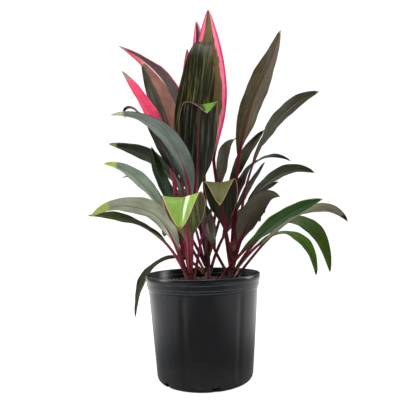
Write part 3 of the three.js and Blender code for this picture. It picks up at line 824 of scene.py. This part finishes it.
def pot_material():
    """Thin satin polyethylene: bluish black, with scuffs, dust at the foot and fine streaks."""
    material, tree, shader = new_material("nursery pot plastic")
    place = tree.nodes.new("ShaderNodeTexCoord").outputs["Object"]
    z = parts(tree, place)[2]
    broad = grains(tree, place, 22.0, 4.0, 0.6)
    fine = grains(tree, place, 900.0, 2.0, 0.5)
    drawn = grains(tree, stretched(tree, place, 160.0, 9.0), 1.0, 3.0, 0.6)
    scraped = grains(tree, stretched(tree, place, 30.0, 420.0), 1.0, 3.0, 0.7)
    scuffs = span(tree, scraped, 0.56, 0.76)
    low = span(tree, z, 0.003, 0.022, 1.0, 0.0)
    scuffed = calc(tree, "MULTIPLY", calc(tree, "MULTIPLY", scuffs, low),
                   span(tree, broad, 0.42, 0.6))
    dusty = calc(tree, "MULTIPLY", span(tree, drawn, 0.45, 0.8), 0.1)
    colour = blend(tree, span(tree, broad, 0.3, 0.7), paint(POT_BLACK), paint(POT_BLUE))
    colour = blend(tree, dusty, colour, paint(POT_DUST))
    foot_dust = calc(tree, "MULTIPLY", span(tree, z, 0.0, 0.07, 0.3, 0.0), broad)
    colour = blend(tree, foot_dust, colour, paint(FOOT_DUST))
    colour = blend(tree, calc(tree, "MULTIPLY", scuffed, 0.7), colour, paint(SCUFF))
    foot = POT_HEIGHT - COLLAR_HEIGHT
    # Lighter blue-grey lines along the band edges and the rim's lip, patchy with the broad grain
    edges = (foot + 0.8, foot + LOW_BAND + 0.9, foot + LOW_BAND + MID_BAND + 0.9, POT_HEIGHT - 0.6)
    for height in edges:
        off = calc(tree, "ABSOLUTE", calc(tree, "SUBTRACT", z, height * MM))
        pale_edge = calc(tree, "MULTIPLY", span(tree, off, 0.0004, 0.0013, 0.55, 0.0),
                    span(tree, broad, 0.35, 0.6, 0.35, 1.0))
        colour = blend(tree, pale_edge, colour, paint(PALE_BAND_EDGE))
    feed(tree, colour, shader.inputs["Base Color"])
    rough = calc(tree, "ADD", span(tree, broad, 0.3, 0.7, 0.18, 0.27, False),
                 calc(tree, "MULTIPLY", dusty, 0.4))
    feed(tree, calc(tree, "ADD", rough, calc(tree, "MULTIPLY", scuffed, 0.3)),
         shader.inputs["Roughness"])
    relief = calc(tree, "ADD", calc(tree, "MULTIPLY", fine, 0.5),
                  calc(tree, "ADD", drawn, calc(tree, "MULTIPLY", scuffed, 0.6)))
    feed(tree, bump(tree, relief, distance=0.0002, strength=0.3), shader.inputs["Normal"])
    shader.inputs["Specular IOR Level"].default_value = POT_SHINE
    return material


# Soil, with crumbs and a little perlite on it

CRUMB_UNEVEN = (0.75, 1.2)
CRUMB_FLATNESS = 0.65
CRUMB_RISE = 0.2
CRUMB_SHY_OF_WALL = 5
BARK_FLECK = 0x8A6A4A
SCAR_BROWN = 0x2C1810


def soil_material(name, dark, pale, rough):
    material, tree, shader = new_material(name)
    place = tree.nodes.new("ShaderNodeTexCoord").outputs["Object"]
    lumps = grains(tree, place, 190.0, 5.0, 0.65)
    specks = grains(tree, place, 700.0, 2.0, 0.5)
    colour = blend(tree, span(tree, lumps, 0.35, 0.65), paint(dark), paint(pale))
    colour = blend(tree, span(tree, specks, 0.68, 0.74, 0.0, 0.6), colour, paint(BARK_FLECK))
    feed(tree, colour, shader.inputs["Base Color"])
    feed(tree, span(tree, lumps, 0.3, 0.7, rough, 1.0, False), shader.inputs["Roughness"])
    height = calc(tree, "ADD", lumps, calc(tree, "MULTIPLY", specks, 0.4))
    feed(tree, bump(tree, height, distance=0.0015, strength=0.9), shader.inputs["Normal"])
    return material


def soil_height(x, y):
    """The height of the soil's top: a low crown with lumps and crumbs."""
    spot = Vector((x, y, 3.1))
    lumps = sum(high * noise.noise(spot / size) for high, size in SOIL_LUMPS)
    edge = clamp((SOIL_RADIUS - math.hypot(x, y)) / 12)
    return SOIL_TOP - 0.6 + lumps * mix(0.5, 1.0, edge) + edge


def make_soil():
    rings = [(0, 4), (86, 4), (94, 9), (wall_radius(14) - SOIL_SHY_OF_WALL, 14),
             (wall_radius(176) - SOIL_SHY_OF_WALL, 176), (SOIL_RADIUS - 1.6, 184),
             (SOIL_RADIUS, 187.5)]
    rings += [(reach, SOIL_TOP) for reach in range(int(SOIL_RADIUS) - 1, 0, -2)] + [(0, SOIL_TOP)]
    bm = turned(rings, SOIL_TURNS)
    for vertex in bm.verts:
        if vertex.co.z > SOIL_TOP - 1:
            vertex.co.z = soil_height(vertex.co.x, vertex.co.y)
    bmesh.ops.scale(bm, vec=(MM, MM, MM), verts=bm.verts)
    piece = new_piece(bm, "potting_soil", soil_material("potting soil", 0x17100B, 0x3A2A1E, 0.85))
    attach(piece, "root")
    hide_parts("soil")


def strew(name, count, sizes, material, seed):
    """Small uneven crumbs that lie on the soil, sunk a little way into it."""
    pick = random.Random(seed)
    bm = bmesh.new()
    for _ in range(count):
        reach = (SOIL_RADIUS - CRUMB_SHY_OF_WALL) * math.sqrt(pick.random())
        turn = pick.uniform(0, 2 * math.pi)
        x = reach * math.cos(turn)
        y = reach * math.sin(turn)
        size = pick.uniform(*sizes)
        made = bmesh.ops.create_icosphere(bm, subdivisions=1, radius=size)
        for vertex in made["verts"]:
            vertex.co *= pick.uniform(*CRUMB_UNEVEN)
            vertex.co.z *= CRUMB_FLATNESS
        spot = Vector((x, y, soil_height(x, y) + size * CRUMB_RISE))
        spin = Matrix.Rotation(pick.uniform(0, 6.28), 3, "Z")
        bmesh.ops.rotate(bm, cent=(0, 0, 0), matrix=spin, verts=made["verts"])
        bmesh.ops.translate(bm, vec=spot, verts=made["verts"])
    bmesh.ops.scale(bm, vec=(MM, MM, MM), verts=bm.verts)
    piece = new_piece(bm, name, material, smooth=False)
    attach(piece, "root")


# Canes, ringed by the scars of fallen leaves

def cane_material(name, dark, pale, flush):
    material, tree, shader = new_material(name)
    place = tree.nodes.new("ShaderNodeTexCoord").outputs["Object"]
    z = parts(tree, place)[2]
    grain = grains(tree, stretched(tree, place, 900.0, 110.0), 1.0, 4.0, 0.6)
    patches = grains(tree, place, 90.0, 4.0, 0.6)
    beat = calc(tree, "SINE", calc(tree, "MULTIPLY", calc(tree, "SUBTRACT", z, SOIL_TOP * MM),
                                   2 * math.pi / (SCAR_PITCH * MM)))
    ringed = span(tree, calc(tree, "ADD", beat, calc(tree, "MULTIPLY", patches, 0.5)), 0.9, 1.25)
    colour = blend(tree, span(tree, grain, 0.3, 0.7), paint(dark), paint(pale))
    colour = blend(tree, span(tree, patches, 0.45, 0.7, 0.0, 0.7), colour, paint(flush))
    colour = blend(tree, calc(tree, "MULTIPLY", ringed, 0.45), colour, paint(SCAR_BROWN))
    feed(tree, colour, shader.inputs["Base Color"])
    feed(tree, span(tree, grain, 0.3, 0.7, 0.6, 0.85, False), shader.inputs["Roughness"])
    height = calc(tree, "ADD", grain, calc(tree, "MULTIPLY", patches, 0.6))
    feed(tree, bump(tree, height, distance=0.0008, strength=0.8), shader.inputs["Normal"])
    return material


def cane_outline(tall):
    """The cane's side from its root to its rounded top, ringed by scars above the soil."""
    start = 2 - CANE_ROOT
    rings = [(0, -CANE_ROOT), (CANE_RADIUS * 0.97, -CANE_ROOT)]
    for i in range(int((tall - start) / CANE_STEP)):
        height = start + i * CANE_STEP
        radius = CANE_RADIUS - 0.2
        if height > 4:
            from_scar = abs((height + SCAR_PITCH / 2) % SCAR_PITCH - SCAR_PITCH / 2)
            radius -= SCAR_DEPTH * clamp(1 - from_scar / SCAR_HALF_WIDTH)
            radius += SCAR_LIP * clamp(1 - abs(from_scar - SCAR_LIP_AT) / 1.5)
        close = clamp((tall - height) / CANE_TOP_ROUND)
        rings.append((radius * mix(0.55, 1.0, math.sqrt(close)), height))
    return [*rings, (0, tall)]


def make_cane(name, cane, material):
    bm = turned(cane_outline(cane["tall"]), CANE_TURNS)
    drift = compass(cane["heading"]) * math.tan(math.radians(cane["lean"]))
    for vertex in bm.verts:
        height = vertex.co.z
        spot = Vector((vertex.co.x, vertex.co.y, height)) / CANE_LUMP_LENGTH
        rough = 1 + CANE_LUMP * noise.noise(spot)
        vertex.co.x = vertex.co.x * rough + cane["foot"][0] + drift.x * height
        vertex.co.y = vertex.co.y * rough + cane["foot"][1] + drift.y * height
        vertex.co.z = height + SOIL_TOP
    bmesh.ops.scale(bm, vec=(MM, MM, MM), verts=bm.verts)
    piece = new_piece(bm, f"{name}_cane", material)
    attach(piece, "root")
    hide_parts(f"cane_{name}")


make_pot()
make_soil()
strew("soil_crumbs", 620, (0.9, 2.6), soil_material("soil crumbs", 0x1C140E, 0x4C3828, 0.9), 4)
strew("perlite", 46, (0.9, 2.0), soil_material("perlite", 0xB8B4A8, 0xE8E6DC, 0.9), 9)
TAN_BARK = cane_material("tan cane bark", 0x5A3C28, 0xA8845C, 0x6A342C)
RED_BARK = cane_material("red cane bark", 0x3C1C1C, 0x6E3A34, 0x4A1C28)
for cane_name, cane in CANES.items():
    make_cane(cane_name, cane, TAN_BARK if cane_name == "left" else RED_BARK)


# Camera, floor and studio light

LENS = 37.21
SENSOR = 36.0
CAMERA_PLACE = (0.0139, -0.8945, 0.3053)
CAMERA_UPWARD = 2.47
CAMERA_ROLL = -1.45
AMBIENT = 0.14
SIDE_GLOW = 0.7
TOP_GLOW = 0.4
SURROUND_GLOW = 1.1
FLOOR_HALF_WIDTH = 5.0
FLOOR_COLOUR = (0.34, 0.34, 0.33, 1.0)
FLOOR_GLOW = 0.84
FLOOR_BOUNCE = 1.1

# Each softbox: its place, the point it faces, its width and height in metres, and its watts
SOFTBOXES = {
    "left softbox": ((-1.7, -0.35, 0.95), (0, 0, 0.3), (0.7, 1.7), 34),
    "right softbox": ((1.7, 0.3, 0.9), (0, 0, 0.3), (0.6, 1.6), 26),
    "top softbox": ((0.0, -0.6, 2.2), (0, 0, 0.4), (1.2, 1.2), 34),
}


def make_camera():
    camera = bpy.data.cameras.new("camera")
    camera.lens = LENS
    camera.sensor_width = SENSOR
    holder = bpy.data.objects.new("camera", camera)
    bpy.context.scene.collection.objects.link(holder)
    pitch = Matrix.Rotation(math.radians(90 + CAMERA_UPWARD), 4, "X")
    roll = Matrix.Rotation(math.radians(CAMERA_ROLL), 4, "Z")
    holder.matrix_world = Matrix.Translation(CAMERA_PLACE) @ pitch @ roll
    bpy.context.scene.camera = holder


def make_floor():
    """A white floor. To the camera alone it glows, as a lit white cove does, and to the plant it
    gives back the softboxes' light on either side, which the satin pot shows as soft highlights."""
    bm = bmesh.new()
    bmesh.ops.create_grid(bm, x_segments=2, y_segments=2, size=FLOOR_HALF_WIDTH)
    material, tree, shader = new_material("studio floor")
    shader.inputs["Base Color"].default_value = FLOOR_COLOUR
    shader.inputs["Roughness"].default_value = 0.9
    x = parts(tree, tree.nodes.new("ShaderNodeTexCoord").outputs["Object"])[0]
    aside = calc(tree, "ABSOLUTE", x)
    sides = calc(tree, "MULTIPLY", span(tree, aside, 0.16, 0.5, 0.0, FLOOR_BOUNCE),
                 span(tree, aside, 0.9, 1.5, 1.0, 0.0))
    seen = tree.nodes.new("ShaderNodeLightPath").outputs["Is Camera Ray"]
    glow = tree.nodes.new("ShaderNodeEmission")
    tree.links.new(span(tree, seen, 0.0, 1.0, sides, FLOOR_GLOW, False), glow.inputs[1])
    both = tree.nodes.new("ShaderNodeAddShader")
    tree.links.new(shader.outputs[0], both.inputs[0])
    tree.links.new(glow.outputs[0], both.inputs[1])
    tree.links.new(both.outputs[0], tree.nodes["Material Output"].inputs[0])
    new_piece(bm, "studio_floor", material)


def make_light(name, place, target, size, power):
    light = bpy.data.lights.new(name, "AREA")
    light.shape = "RECTANGLE"
    light.size, light.size_y = size
    light.energy = power
    holder = bpy.data.objects.new(name, light)
    bpy.context.scene.collection.objects.link(holder)
    aim = (Vector(target) - Vector(place)).to_track_quat("-Z", "Y")
    holder.matrix_world = Matrix.Translation(place) @ aim.to_matrix().to_4x4()


def make_studio():
    """A white surround that lights the plant softly, with a softbox on either side and one above."""
    world = bpy.data.worlds.new("studio")
    world.use_nodes = True
    tree = world.node_tree
    background = tree.nodes["Background"]
    background.inputs[0].default_value = (1.0, 1.0, 1.0, 1.0)
    toward = tree.nodes.new("ShaderNodeTexCoord").outputs["Generated"]
    facing = parts(tree, toward)
    sides = span(tree, calc(tree, "ABSOLUTE", facing[0]), 0.3, 0.95, AMBIENT, SIDE_GLOW)
    around = calc(tree, "ADD", sides, span(tree, facing[2], 0.1, 1.0, 0.0, TOP_GLOW))
    seen = tree.nodes.new("ShaderNodeLightPath").outputs["Is Camera Ray"]
    strength = span(tree, seen, 0.0, 1.0, around, SURROUND_GLOW, False)
    tree.links.new(strength, background.inputs[1])
    scene = bpy.context.scene
    scene.world = world
    scene.view_settings.view_transform = "Standard"
    for name, settings in SOFTBOXES.items():
        make_light(name, *settings)


make_camera()
make_floor()
make_studio()
